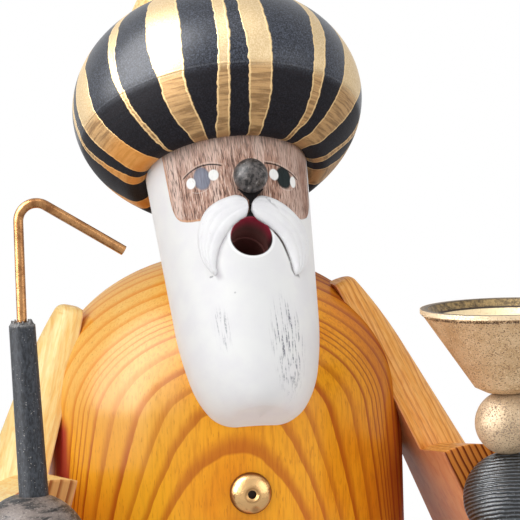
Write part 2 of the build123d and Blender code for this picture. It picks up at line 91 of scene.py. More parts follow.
class Num:
    """A number that varies over a surface. Arithmetic on it adds Math nodes."""

    def __init__(self, finish, socket):
        self.finish, self.socket = finish, socket

    def math(self, operation, *others, **settings):
        values = dict(enumerate((self,) + others))
        return self.finish.add("ShaderNodeMath", values, operation=operation, **settings)

    __add__ = __radd__ = math_with("ADD")
    __mul__ = __rmul__ = math_with("MULTIPLY")
    __sub__ = math_with("SUBTRACT")
    __truediv__ = math_with("DIVIDE")
    __pow__ = math_with("POWER")
    __mod__ = math_with("FLOORED_MODULO")
    __abs__ = math_with("ABSOLUTE")
    sine = math_with("SINE")
    root = math_with("SQRT")
    least = math_with("MINIMUM")
    most = math_with("MAXIMUM")

    def __rsub__(self, other):
        return self.finish.add("ShaderNodeMath", {0: other, 1: self}, operation="SUBTRACT")

    def clamp(self):
        return self.math("ADD", 0, use_clamp=True)

    def rises(self, start, end):
        """0 below start and 1 above end, with a soft step between. end may be below start."""
        if end < start:
            return 1 - self.rises(end, start)
        return self.finish.add(
            "ShaderNodeMapRange", {0: self, 1: start, 2: end, 3: 0, 4: 1}, interpolation_type="SMOOTHSTEP")

    def band(self, start, end, soft):
        """1 between two values, with soft edges."""
        return self.rises(start - soft, start + soft) * self.rises(end + soft, end - soft)


class Finish:
    """One material. Positions are Object coordinates in millimetres."""

    def __init__(self, name, **shader):
        self.material = bpy.data.materials.new(name)
        self.material.use_nodes = True
        self.tree = self.material.node_tree
        self.shader = self.tree.nodes["Principled BSDF"]
        for socket, value in shader.items():
            self.set(socket.replace("_", " "), value)
        self.place = self.vector("SCALE", self.add("ShaderNodeTexCoord", {}, out="Object"), Scale=1000)

    def add(self, kind, values, out=0, **settings):
        """A node of a kind, with its settings and then its sockets' values or links; gives one output."""
        node = self.tree.nodes.new(kind)
        for name, value in settings.items():
            if name == "points":
                self.set_points(node.mapping, value)
            else:
                setattr(node, name, value)
        for name, value in values.items():
            if isinstance(value, Num):
                self.tree.links.new(value.socket, node.inputs[name])
            else:
                node.inputs[name].default_value = value
        return Num(self, node.outputs[out])

    def set_points(self, mapping, points):
        curve = mapping.curves[0]
        for place, height in points[1:-1]:
            curve.points.new(place, height)
        curve.points[0].location, curve.points[-1].location = points[0], points[-1]
        mapping.update()

    def set(self, socket, value):
        """Sets or links a socket of the shader."""
        if isinstance(value, Num):
            self.tree.links.new(value.socket, self.shader.inputs[socket])
        else:
            self.shader.inputs[socket].default_value = (*value, 1) if socket.endswith("Color") else value

    def vector(self, operation, *values, **more):
        named = {**dict(enumerate(values)), **more}
        out = "Value" if operation in ("DOT_PRODUCT", "LENGTH", "DISTANCE") else "Vector"
        return self.add("ShaderNodeVectorMath", named, out=out, operation=operation)

    def along(self, direction, origin=(0, 0, 0)):
        """Millimetres along a direction from an origin."""
        direction = Vector(direction)
        return self.vector("DOT_PRODUCT", self.place, tuple(direction)) - direction.dot(Vector(origin))

    def from_axis(self, origin, square_to_it=(1, 1, 0)):
        """Millimetres out from an axis through an origin; the triple has a 0 along the axis."""
        aside = self.vector("SUBTRACT", self.place, tuple(origin))
        return self.vector("LENGTH", self.vector("MULTIPLY", aside, square_to_it))

    def stack(self, x, y, z):
        return self.add("ShaderNodeCombineXYZ", {0: x, 1: y, 2: z})

    def noise(self, size, detail=2.0, at=None, rough=0.5, stretch=None, shift=0.0):
        """Noise from 0 to 1 with a grain size in millimetres, stretched by a triple where asked."""
        at = at or self.place
        if stretch:
            at = self.vector("MULTIPLY", at, stretch)
        if shift:
            at = self.vector("ADD", at, (shift, shift, shift))
        values = {"Vector": at, "Scale": 1 / size, "Detail": detail, "Roughness": rough}
        return self.add("ShaderNodeTexNoise", values, out="Fac")

    def mix(self, share, first, second):
        """Colour between two colours."""
        first, second = (c if isinstance(c, Num) else (*c, 1) for c in (first, second))
        return self.add("ShaderNodeMix", {0: share, 6: first, 7: second}, out=2, data_type="RGBA")

    def layers(self, colour, *coats):
        """Colour with coats laid over it in turn, each a share and its colour."""
        for share, coat in coats:
            colour = self.mix(share, colour, coat)
        return colour

    def coloured(self, colour, *coats):
        """Gives the shader a colour with coats laid over it."""
        self.set("Base Color", self.layers(colour, *coats))

    def curve(self, value, points, places, heights):
        """Smooth curve through points, whose places and heights lie within these two spans."""
        (start, end), (low, high) = places, heights
        inside = [
            ((place - start) / (end - start), (height - low) / (high - low)) for place, height in points]
        values = {"Factor": 1.0, "Value": (value - start) / (end - start)}
        return self.add("ShaderNodeFloatCurve", values, points=inside) * (high - low) + low

    def random_of(self, number):
        """A random number from 0 to 1 for each whole number."""
        whole = number.math("FLOOR")
        return self.add("ShaderNodeTexWhiteNoise", {"W": whole}, out="Value", noise_dimensions="1D")

    def raised(self, height, depth):
        """Puts a height pattern in the shader's normal; depth is in millimetres for a height of 1."""
        bump = self.add("ShaderNodeBump", {"Height": height, "Distance": depth * MM, "Strength": 1.0})
        self.set("Normal", bump)

    def wear(self, *pieces):
        """Gives this finish to pieces: CAD node names or objects."""
        for piece in pieces:
            mesh = (nodes[piece] if isinstance(piece, str) else piece).data
            mesh.materials.clear()
            mesh.materials.append(self.material)


def paint(red, green, blue):
    """Colour from the 0 to 255 numbers of a paint card, made linear."""
    shares = (number / 255 for number in (red, green, blue))
    return tuple(s / 12.92 if s <= 10 / 255 else ((s + 0.055) / 1.055) ** 2.4 for s in shares)


# Stage: a pale floor that fades into white paper away from the figure, a pale room and four
# large soft lamps, of which the last only adds shine. Straight views and clear reflections
# see the paper and the room as white.
floor_half, floor_height, floor_fade = 3, -0.5 * MM, (170, 420)
lamp_aim = Vector((0, 0, 130 * MM))


def white_when_seen(tree, lit, white, output, share=None):
    """Straight views, gloss and clear glass see white, or a share of it; light sees what is lit."""
    path = tree.nodes.new("ShaderNodeLightPath")
    seen = path.outputs["Is Camera Ray"]
    steps = [("MAXIMUM", path.outputs[ray]) for ray in ("Is Glossy Ray", "Is Transmission Ray")]
    if share:
        steps.append(("MULTIPLY", share.socket))
    for operation, other in steps:
        joined = tree.nodes.new("ShaderNodeMath")
        joined.operation = operation
        tree.links.new(seen, joined.inputs[0])
        tree.links.new(other, joined.inputs[1])
        seen = joined.outputs[0]
    choice = tree.nodes.new("ShaderNodeMixShader")
    for source, target in zip((seen, lit.outputs[0], white.outputs[0]), choice.inputs):
        tree.links.new(source, target)
    tree.links.new(choice.outputs[0], tree.nodes[output].inputs["Surface"])


floor_corners = [
    (x * floor_half, y * floor_half, floor_height) for x, y in ((-1, -1), (1, -1), (1, 1), (-1, 1))]
floor_mesh = bpy.data.meshes.new("floor")
floor_mesh.from_pydata(floor_corners, [], [(0, 1, 2, 3)])
floor = put_in_scene(floor_mesh, "floor")
floor_finish = Finish("floor", Roughness=0.9, Specular_IOR_Level=0.1)
floor_finish.set("Base Color", paint(238, 238, 238))
floor_far = floor_finish.vector("LENGTH", floor_finish.place).rises(*floor_fade)
floor_white = floor_finish.tree.nodes.new("ShaderNodeEmission")
white_when_seen(floor_finish.tree, floor_finish.shader, floor_white, "Material Output", floor_far)
floor_finish.wear(floor)

room = bpy.data.worlds.new("room")
bpy.context.scene.world = room
room.use_nodes = True
room_light = room.node_tree.nodes["Background"]
room_light.inputs["Color"].default_value = (0.96, 0.97, 1.0, 1)
room_light.inputs["Strength"].default_value = 0.42
room_white = room.node_tree.nodes.new("ShaderNodeBackground")
room_white.inputs["Color"].default_value = (1, 1, 1, 1)
white_when_seen(room.node_tree, room_light, room_white, "World Output")
bpy.context.scene.view_settings.view_transform = "Standard"


def set_along(place, direction):
    """Matrix that moves a thing to a place and points its own Z along a direction."""
    return Matrix.Translation(place) @ direction.to_track_quat("Z", "Y").to_matrix().to_4x4()


def soft_lamp(name, azimuth, height, distance, width, tall, power):
    """Rectangular lamp that looks at the figure's chest."""
    light = bpy.data.lights.new(name, "AREA")
    light.shape, light.size, light.size_y, light.energy = "RECTANGLE", width, tall, power
    lamp = put_in_scene(light, name)
    out = outward(azimuth, height)
    lamp.matrix_world = set_along(lamp_aim + out * distance, out)
    return lamp


soft_lamp("key_lamp", -58, 28, 0.95, 0.85, 1.0, 4.8)
soft_lamp("fill_lamp", 48, 12, 1.2, 0.9, 0.9, 4.0)
soft_lamp("top_lamp", 5, 72, 1.0, 0.9, 0.6, 2.4)
shine_lamp = soft_lamp("shine_lamp", -78, 32, 1.0, 1.0, 1.5, 44)
shine_lamp.visible_diffuse = False


# Robe: two halves turned from one blank of softwood with clear year rings, and a foot of the
# same wood, stained honey yellow and lacquered. The rings run about a pith that stood far
# behind the figure, so they show as nested arches in front. The smoke has browned its channel.
robe_pith, robe_pith_direction = Vector((24.3, 163.0, 93.0)), Vector((-0.132, -0.133, 1)).normalized()
channel_middle, channel_above, channel_radius = (0.4, -3.21, 130.6), (0, 0.5225, 0.8526), 4.3
robe_ring_radii = (
    120, 125.5, 131, 136, 140.5, 146, 151.5, 156, 160.5, 164.3, 168.2, 173.3, 178.1, 181.6,
    184.9, 186.3, 187.5, 188.7, 190.4, 193.4, 196.5, 198.8, 200.7, 202.4, 205.5, 208.5, 211.5, 215)


def ring_distance(finish, foot, direction, wave=0.5):
    """Distance from a pith line, with the slow waves that real rings have."""
    away = finish.vector("SUBTRACT", finish.place, tuple(foot))
    length = finish.vector("LENGTH", finish.vector("CROSS_PRODUCT", away, tuple(direction)))
    slow = finish.noise(26, 1.0, stretch=(1, 1, 0.3)) - 0.5
    return length + slow * (wave * 2) + (finish.noise(5, 1.0) - 0.5) * (wave * 0.4)


def year_rings(finish, distance, radii):
    """0 to 1 across each ring, from the soft spring wood to the dark autumn line, and the ring's number."""
    count = len(radii) - 1
    place = finish.curve(distance, zip(radii, range(count + 1)), (radii[0], radii[-1]), (0, count))
    return place % 1.0, place


robe_wood = Finish("robe_wood", Specular_IOR_Level=0.0, Coat_Roughness=0.28, Coat_IOR=1.5)
robe_distance = ring_distance(robe_wood, robe_pith, robe_pith_direction)
robe_within, robe_ring = year_rings(robe_wood, robe_distance, robe_ring_radii)
robe_autumn = robe_within.rises(0.52, 0.9) * robe_within.rises(1.0, 0.95)
robe_fibre = robe_wood.noise(0.55, 3.0, stretch=(1, 1, 0.1))
robe_pores = robe_wood.noise(0.35, 1.0, stretch=(1, 1, 0.16), shift=31).rises(0.62, 0.72)
robe_patches = robe_wood.noise(17, 2.0, stretch=(1, 1, 0.5), shift=7)
robe_strength = 0.5 + 0.4 * robe_wood.random_of(robe_ring) + 0.25 * robe_fibre
# Turns are radians from the front, positive to the figure's left; heights are millimetres.
robe_turn = robe_wood.along((1, 0, 0)).math("ARCTAN2", robe_wood.along((0, -1, 0)))
robe_high = robe_wood.along((0, 0, 1))
# Painted light: the figure's right side is painted lighter, as lit by the key lamp. It is golden yellow low
# down and pale peach high up, where the peach is a painted highlight in the lacquer.
robe_lit_side = robe_turn.rises(-0.2, -0.85) * robe_turn.rises(-2.9, -1.8)
robe_lit_low = robe_lit_side * robe_high.rises(122, 100)
robe_highlight_high = robe_lit_side * robe_high.rises(100, 122)
# Painted shade: the figure's left side is painted a darker red brown and made less glossy.
robe_shaded_side = robe_turn.rises(0.6, 1.25) * robe_turn.rises(2.9, 1.8)
# Painted shadow: a dark red sliver where the right arm shades the robe, also made less glossy.
robe_shadow_under_arm = robe_turn.band(-1.42, -1.22, 0.04) * robe_high.band(85, 110, 2.5)
channel_out = (robe_wood.along((1, 0, 0), channel_middle) ** 2
               + robe_wood.along(channel_above, channel_middle) ** 2).root()
robe_channel = channel_out.rises(channel_radius + 0.2, channel_radius) * robe_high.rises(122, 124)
# Each robe colour with its paler copy, for the painted highlight high on the lit side.
robe_light, robe_middle, robe_line = (
    robe_wood.mix(robe_highlight_high, golden, highlit) for golden, highlit in (
        (paint(252, 172, 36), paint(252, 206, 116)),
        (paint(240, 148, 20), paint(248, 190, 92)),
        (paint(190, 94, 16), paint(236, 146, 38))))
robe_wood.coloured(
    robe_light,
    (robe_patches.rises(0.35, 0.65), robe_middle),
    (robe_fibre.rises(0.4, 0.75) * 0.4, robe_line),
    (robe_lit_low * 0.6, paint(255, 192, 44)),
    (robe_pores * 0.35, paint(184, 92, 14)),
    ((robe_autumn * robe_strength).clamp(), robe_line),
    # Painted shade on the figure's left side, deeper low down.
    (robe_shaded_side * (0.6 + 0.3 * robe_autumn), paint(140, 50, 34)),
    (robe_shaded_side * robe_high.rises(118, 92) * 0.4, paint(124, 36, 38)),
    # Painted shadow under the right arm.
    (robe_shadow_under_arm * 0.9, paint(176, 52, 56)),
    (robe_channel, paint(58, 26, 24)))
robe_wood.set("Roughness", 0.26 + 0.14 * robe_fibre)
robe_wood.set("Coat Weight", (0.45 - 0.3 * robe_shaded_side - 0.15 * robe_shadow_under_arm) * (1 - robe_channel))
robe_wood.raised(robe_autumn * 0.4 + robe_fibre * 0.3 - robe_pores * 0.3, 0.03)
robe_wood.wear("upper_body", "lower_body", "base_plate")


# Dowels: plain birch rods, glued into their holes, that hold the turned pieces together.
dowel_wood = Finish("dowel_wood", Roughness=0.6)
dowel_fibre = dowel_wood.noise(0.4, 3.0, stretch=(1, 1, 0.1))
dowel_wood.coloured(paint(228, 200, 158), (dowel_fibre, paint(198, 164, 118)))
dowel_wood.raised(dowel_fibre, 0.05)
dowel_wood.wear("base_dowel", "turban_dowel", "left_shoulder_dowel", "right_shoulder_dowel",
                "left_wrist_dowel", "right_wrist_dowel", "goblet_pin")


# Incense dish: pressed brass sheet, browned in the middle by the burning cones, held by a
# plain steel nail.
dish_brass = Finish("dish_brass", Metallic=1.0)
dish_smoke = dish_brass.noise(3, 3.0)
dish_burnt = (dish_brass.from_axis((0, 0, 0)).rises(10, 3) * (0.4 + dish_smoke)).clamp()
dish_brass.coloured(paint(214, 172, 96), (dish_burnt, paint(92, 62, 36)))
dish_brass.set("Roughness", 0.24 + 0.4 * dish_burnt + 0.1 * dish_smoke)
dish_brass.set("Metallic", 1 - 0.5 * dish_burnt)
dish_brass.raised(dish_brass.noise(0.8, 2.0), 0.02)
dish_brass.wear("incense_tray")
nail_steel = Finish("nail_steel", Metallic=1.0)
nail_marks = nail_steel.noise(0.5, 3.0)
nail_steel.coloured(paint(120, 118, 116), (nail_marks, paint(84, 78, 72)))
nail_steel.set("Roughness", 0.3 + 0.3 * nail_marks)
nail_steel.raised(nail_marks, 0.02)
nail_steel.wear("tray_nail")


# Chest button: a turned brass bead with a dimple, worn and a little dented at its lower edge,
# and held by a blackened nail in its middle.
button_middle = Vector((-1.8, -43.5, 95.8))
button_brass = Finish("button_brass", Metallic=1.0)
button_out = button_brass.from_axis(button_middle, (1, 0, 1))
button_turning = button_brass.noise(0.25, 1.0, at=button_brass.stack(button_out * 6, 0, 0))
button_marks = button_brass.noise(0.9, 3.0, rough=0.6)
dent_middle = tuple(button_middle + Vector((0.6, 0, -3.5)))
button_dent = button_brass.vector("DISTANCE", button_brass.place, dent_middle).rises(1.3, 0.4)
button_grime = (button_out.band(1.1, 1.9, 0.3) * 0.5 + button_marks.rises(0.58, 0.72) * 0.4
                + button_out.rises(4.0, 4.7)).clamp()
button_brass.coloured(
    paint(214, 172, 118),
    ((button_grime + button_dent * 0.5).clamp(), paint(110, 74, 42)))
button_brass.set("Roughness", 0.2 + 0.25 * button_grime)
button_brass.raised(button_marks * 0.6 + button_turning * 0.3 - button_dent * 3, 0.06)
button_brass.wear("chest_button")
nail_black = Finish("nail_black", Metallic=1.0, Roughness=0.45)
nail_black_marks = nail_black.noise(0.4, 2.0)
nail_black.coloured(paint(26, 24, 24), (nail_black_marks, paint(58, 50, 44)))
nail_black.raised(nail_black_marks, 0.03)
nail_black.wear("button_nail")


# Arms: each sleeve is half of a turned softwood cone, cut at the elbow and turned over, with
# its flat side to the robe. The rings lie almost parallel to the flat, so they run along the
# sleeve as fine lines and cross the cuff's end grain as dark stripes.
def arm_directions(side, splay, toe_out):
    """Down the upper arm, along the forearm and out from the flat side."""
    down = Vector((side * sin(radians(splay)), 0, -cos(radians(splay))))
    fore = Vector((side * sin(radians(toe_out)), -cos(radians(toe_out)), 0))
    fore = (fore - down * fore.dot(down)).normalized()
    out = down.cross(fore).normalized()
    return down, fore, out if out.x * side > 0 else -out


def sleeve_wood(name, shoulder, cuff, directions, light, middle, line, end_colours, spacing, contrast):
    """Lacquered softwood with its rings parallel to the flat side; the end grain is darker."""
    down, fore, out = directions
    end_light, end_middle, end_line = end_colours
    finish = Finish(name, Specular_IOR_Level=0.0, Coat_Weight=0.3, Coat_Roughness=0.25, Coat_IOR=1.5)
    lengthwise = finish.stack(
        finish.along(down, shoulder) * 0.1, finish.along(fore, shoulder) * 0.1, finish.along(out, shoulder))
    wave = finish.noise(1.6, 2.0, at=finish.vector("MULTIPLY", lengthwise, (0.9, 0.9, 0.1)))
    ring = (finish.along(out, shoulder) + wave * 1.4) / spacing
    within = ring % 1.0
    autumn = within.rises(0.45, 0.88) * within.rises(1.0, 0.93)
    fibre = finish.noise(0.4, 3.0, at=lengthwise)
    pores = finish.noise(0.3, 1.0, at=lengthwise, shift=13).rises(0.56, 0.68)
    end_face = finish.along(fore, cuff).rises(-0.5, -0.1)
    strength = ((0.35 + 0.65 * finish.random_of(ring)) * contrast + 0.75 * end_face) * autumn
    finish.coloured(
        light,
        (fibre.rises(0.35, 0.7), middle),
        (pores * 0.35, line),
        (end_face, finish.mix(fibre, end_light, end_middle)),
        (strength.clamp(), finish.mix(end_face, line, end_line)),
        # Painted shade: the flat side next to the robe is painted pinkish brown, for its shade and the pale
        # floor reflected in it.
        (finish.along(out, shoulder).rises(0.35, 0.1) * 0.55, paint(214, 140, 112)))
    finish.set("Roughness", 0.28 + 0.2 * fibre)
    finish.raised(fibre * 0.4 + autumn * 0.3 - pores * 0.3, 0.04)
    return finish


# The two sleeves are painted as lit and shaded copies of one wood: the right one paler and yellower, as lit
# by the key lamp, the left one a deeper orange.
left_sleeve = sleeve_wood(
    "left_sleeve", (24.4, -10.1, 138.8), (48.6, -47.4, 87.4), arm_directions(1, 24.1, 1.9),
    paint(248, 186, 104), paint(238, 164, 76), paint(186, 98, 38),
    (paint(240, 156, 70), paint(208, 118, 46), paint(122, 52, 22)), 1.35, 0.6)
left_sleeve.wear("left_upper_arm", "left_forearm")
right_sleeve = sleeve_wood(
    "right_sleeve", (-33.6, -2.0, 135.2), (-45.9, -42.4, 84.3), arm_directions(-1, 16.45, -3.9),
    paint(255, 226, 156), paint(254, 210, 128), paint(236, 172, 88),
    (paint(240, 178, 108), paint(214, 146, 80), paint(164, 92, 44)), 2.3, 0.5)
right_sleeve.wear("right_upper_arm", "right_forearm")


# Hands: two turned balls glued to the sleeves. The left one is stained charcoal and shows the
# fine lines of the lathe, their crests painted pale grey as highlights; the right one is stained grey
# brown, mottled and worn through.
left_hand_stain = Finish("left_hand_stain", Specular_IOR_Level=0.5)
left_hand_along = left_hand_stain.along((0.05, 0.34, 0.94), (54.0, -56.8, 93.9))
left_hand_grooves = (left_hand_along * 7.6 + left_hand_stain.noise(2.2, 1.0) * 2.4).sine() * 0.5 + 0.5
left_hand_lines_and_glints = left_hand_grooves * (0.35 + left_hand_stain.noise(0.8, 2.0, shift=4))
left_hand_spots = left_hand_stain.noise(0.7, 3.0, rough=0.6)
left_hand_stain.coloured(
    paint(14, 16, 18),
    (left_hand_lines_and_glints.rises(0.35, 0.85), paint(92, 97, 103)),
    (left_hand_spots.rises(0.6, 0.75) * 0.6, paint(140, 142, 146)))
left_hand_stain.set("Roughness", 0.22 + 0.2 * left_hand_spots)
left_hand_stain.raised(left_hand_lines_and_glints + left_hand_spots * 0.3, 0.22)
left_hand_stain.wear("left_hand")
right_hand_stain = Finish("right_hand_stain", Specular_IOR_Level=0.3)
right_hand_ways = ((1, 0, 0), 0.22), ((0, 1, 0), 0.22), ((-0.09, 0, 1), 1)
right_hand_turned = right_hand_stain.stack(
    *(right_hand_stain.along(way) * stretch for way, stretch in right_hand_ways))
right_hand_mottle = right_hand_stain.noise(1.3, 3.0, at=right_hand_turned, rough=0.7)
right_hand_spots = right_hand_stain.noise(0.5, 3.0, rough=0.65, shift=5)
right_hand_stain.coloured(
    paint(30, 29, 30),
    (right_hand_mottle.rises(0.36, 0.58), paint(132, 119, 111)),
    (right_hand_spots.rises(0.55, 0.72) * 0.7, paint(172, 162, 154)),
    (right_hand_spots.rises(0.42, 0.3) * 0.8, paint(26, 25, 27)))
right_hand_stain.set("Roughness", 0.3 + 0.3 * right_hand_spots)
right_hand_stain.raised(right_hand_mottle * 0.6 + right_hand_spots * 0.5, 0.14)
right_hand_stain.wear("right_hand")


# Head: one long turned piece of a pinkish brown, open-grained wood that leans back. The face
# is left bare; hair and beard are painted white round it, the eyes are painted on and the
# mouth is a bore, stained red. The paint is placed in millimetres round and up the head.
head_lean, head_round = radians(31.5), 18.0
head_up = Vector((0, sin(head_lean), cos(head_lean)))
head_front = Vector((0, -cos(head_lean), sin(head_lean)))
chin = Vector((0, -45.0, 113.75))
mouth_up, mouth_across = 36.3, 0.4


def head_chart(finish):
    """Millimetres to the left of the face's middle, out from the head's axis and up from the chin."""
    return finish.along((1, 0, 0)), finish.along(head_front, chin), finish.along(head_up, chin)


def painted_spot(across, up_head, middle, half_wide, half_high, lean=0.0, soft=0.14):
    """1 inside a brushed oval; lean is in degrees to the figure's left."""
    c, s = cos(radians(lean)), sin(radians(lean))
    over, above = across - middle[0], up_head - middle[1]
    a, b = (over * c - above * s) / half_wide, (over * s + above * c) / half_high
    return (a * a + b * b).root().rises(1 + soft, 1 - soft)


def painted_arc(across, up_head, top, sag, start, end, thick, soft=0.12):
    """1 on a brushed line that sags away from its top."""
    over = across - top[0]
    off = abs(up_head - top[1] + over * over * sag)
    return off.rises(thick / 2 + soft, thick / 2 - soft) * across.band(start, end, 0.3)


def open_grain(finish, left, out, up_head, light, middle, dark):
    """Bare wood with short dark pores and pale flecks along the head, and its pores by themselves."""
    fine = finish.stack(left, out, up_head * 0.075)
    streaks = finish.noise(0.42, 3.0, at=fine, rough=0.7)
    pores = finish.noise(0.24, 2.0, at=fine, shift=17)
    clouds = finish.noise(4, 2.0, at=fine, shift=3)
    pore_colour, fleck_colour = [c * 0.18 for c in dark], [min(1, c * 1.2) for c in light]
    colour = finish.layers(
        dark,
        (streaks.rises(0.3, 0.7), middle),
        (clouds.rises(0.4, 0.65) * 0.55, light),
        (pores.rises(0.53, 0.63) * 0.8, pore_colour),
        (pores.rises(0.43, 0.34) * 0.5, fleck_colour))
    return colour, pores.rises(0.56, 0.66)


head_paint = Finish("head_paint", Specular_IOR_Level=0.12)
left, out, up_head = head_chart(head_paint)
across = left.math("ARCTAN2", out) * head_round
brush = head_paint.noise(0.5, 3.0, at=head_paint.stack(left, out, up_head * 0.15), shift=9)
wobble = (head_paint.noise(1.5, 1.0, shift=21) - 0.5) * 0.5
bare_floor = (
    (-30, 62), (-22, 62), (-18.95, 60), (-18.75, 50), (-18.2, 46.6), (-16.6, 44.0), (-12, 42.2), (0, 41.5),
    (12, 42), (17.6, 43.6), (20.2, 45.9), (22.2, 49.5), (22.5, 56), (23.2, 60), (26, 62), (30, 62))
above_floor = up_head - head_paint.curve(across, bare_floor, (-30, 30), (30, 70)) + wobble * 0.5
bare = above_floor.rises(-0.12, 0.12) * across.band(-19.0, 22.8, 0.15)
bare_edge = (above_floor.band(-0.1, 0.5, 0.15) * across.band(-19.2, -4, 0.4)
             + across.band(-19.0, -18.5, 0.15) * above_floor.rises(-1, 0))
wood_light, wood_middle, wood_dark = paint(244, 218, 204), paint(208, 168, 148), paint(146, 104, 86)
wood, wood_pores = open_grain(head_paint, left, out, up_head, wood_light, wood_middle, wood_dark)
wood = head_paint.layers(
    wood,
    ((bare_edge * 0.7).clamp(), paint(214, 160, 118)),
    # Painted shade darkens the bare wood towards the figure's left; painted light makes it lighter near the
    # turban, where the turban shades it.
    (across.rises(4, 20) * 0.45, paint(120, 84, 68)),
    (up_head.rises(54, 61) * 0.3, wood_light))

# White paint, with brushed dashes on the beard, its front middle painted greyer as shade, a painted
# shadow beside the right half of the moustache and a dark line beside the left half.
mottle = head_paint.noise(6, 3.0, shift=2)
dash_at = head_paint.stack(left + up_head * 0.04, out * 0.3, up_head * 0.05)
dash_lines = head_paint.noise(0.36, 0.0, at=dash_at, shift=40).rises(0.5, 0.72)
dash_breaks = head_paint.noise(0.5, 2.0, shift=41).rises(0.38, 0.58)
dash_places = painted_spot(left + up_head * 0.11, up_head, (-6.5, 15.5), 1.5, 4.2, 0, 0.5) * 0.6
dash_places = dash_places.most(painted_spot(left, up_head, (6.0, 11.5), 3.3, 8.8, 0, 0.45))
dash_marks = dash_lines * (0.25 + 0.75 * dash_breaks) * dash_places
specks = painted_spot(left, up_head, (-4.8, 23.2), 0.25, 0.22) * 0.5
specks = specks.most(painted_spot(left, up_head, (-9.3, 28.2), 0.4, 0.26) * 0.8)
left_crease, right_crease = (
    head_paint.curve(up_head, points, (24, 42), (0, 12)) for points in (
        ((24, 10.4), (27.8, 10.3), (28.9, 9.8), (30.3, 9.6), (32.6, 9.0), (35.4, 7.9), (37.7, 6.1),
         (39.4, 3.7), (41, 1.8), (42, 0)),
        ((24, 7.4), (27, 7.7), (28.6, 8.1), (29.8, 8.3), (31.8, 8.1), (34.2, 7.3), (36.6, 5.9),
         (38.6, 4.1), (40.1, 2.1), (42, 0))))
left_line = (left - left_crease).band(-0.85, 0.6, 0.14) * up_head.band(27.7, 39.5, 0.5)
left_line = left_line * (0.65 + 0.3 * up_head.rises(30, 35))
left_line = left_line * head_paint.noise(0.8, 2.0, shift=8).rises(0.15, 0.4)
beside_right = left * -1 - right_crease
right_shadow = beside_right.rises(-1.5, -0.1) * left.rises(0, -1) * up_head.band(27.2, 37.5, 0.9) * 0.5
right_shadow = right_shadow * beside_right.rises(0.7, 0.1)
white = head_paint.layers(
    paint(238, 238, 236),
    (mottle.rises(0.3, 0.7), paint(233, 232, 233)),
    # Painted shade: the front middle of the beard is painted greyer.
    (across.band(-3, 8, 5) * 0.5, paint(220, 220, 220)),
    (dash_marks, paint(120, 120, 130)),
    (specks * 0.7, paint(120, 118, 122)),
    (right_shadow, paint(150, 142, 150)),
    (left_line, paint(52, 36, 34)))

# The dark rim at the bare wood's left edge, and painted shade round the nose and in the gap
# between the moustache halves under it.
bare_rim = across.band(22.35, 22.85, 0.12) * above_floor.rises(-0.6, 0.2)
nose_shade = painted_spot(across, up_head, (1.9, 49.6), 3.0, 4.4, 0, 0.15) * bare
moustache_gap_shade = abs(across - 1.15 - (up_head - 43) * 0.08)
moustache_gap_shade = moustache_gap_shade - (up_head - 45.0).most(0) * 0.9 - (42.3 - up_head).most(0) * 0.6
under_nose_shade = moustache_gap_shade.rises(0.75, 0.45) * up_head.band(40.3, 48, 0.3)
colour = head_paint.layers(
    white,
    (bare, wood),
    (bare_rim * 0.85, paint(40, 28, 26)),
    (under_nose_shade.most(nose_shade * 0.65), paint(24, 20, 20)))

# Eyes, the right one first: an iris with a darker rim, two white corners, a lid with a pale
# fold above it, and a pale line below.
for iris, iris_colour, edge_colour, corners, lid, under in (
        (((-9.3, 51.9), 1.95, 2.75, -8), paint(150, 153, 168), paint(96, 98, 112),
         (((-12.1, 51.6), 1.15, 1.35, -12), ((-6.5, 52.1), 1.15, 1.35, -6)),
         ((-8.5, 54.95), 0.056, -13.9, -4.4, 0.32), ((-9.9, 48.65), -0.16, -12.2, -7.4, 0.12)),
        (((10.5, 51.6), 2.25, 2.7, 10), paint(40, 50, 50), paint(22, 28, 28),
         (((7.7, 51.8), 1.2, 1.4, 14), ((13.5, 51.3), 1.0, 1.45, 14)),
         ((7.0, 54.4), 0.028, 5.6, 15.4, 0.32), ((10.8, 48.6), -0.16, 9.0, 13.0, 0.12))):
    iris_middle, iris_wide, iris_high, iris_lean = iris
    (lid_across, lid_top), lid_sag, lid_start, lid_end, _ = lid
    over_lid = up_head - lid_top + (across - lid_across) * (across - lid_across) * lid_sag
    ball = painted_spot(across, up_head, *iris) * over_lid.rises(0.1, -0.1)
    rim = ball - painted_spot(
        across, up_head, iris_middle, iris_wide * 0.8, iris_high * 0.88, iris_lean, 0.2)
    pale_fold = painted_arc(
        across, up_head, (lid_across, lid_top + 0.45), lid_sag, lid_start - 0.3, lid_end + 0.3, 0.22)
    colour = head_paint.layers(
        colour,
        (ball, head_paint.mix(brush, iris_colour, edge_colour)),
        ((rim * 0.5).clamp(), edge_colour),
        *((painted_spot(across, up_head, *corner), paint(250, 249, 246)) for corner in corners),
        (pale_fold * 0.6, paint(222, 200, 184)),
        (painted_arc(across, up_head, *lid), paint(30, 27, 28)),
        (painted_arc(across, up_head, *under) * 0.55, paint(232, 220, 210)))

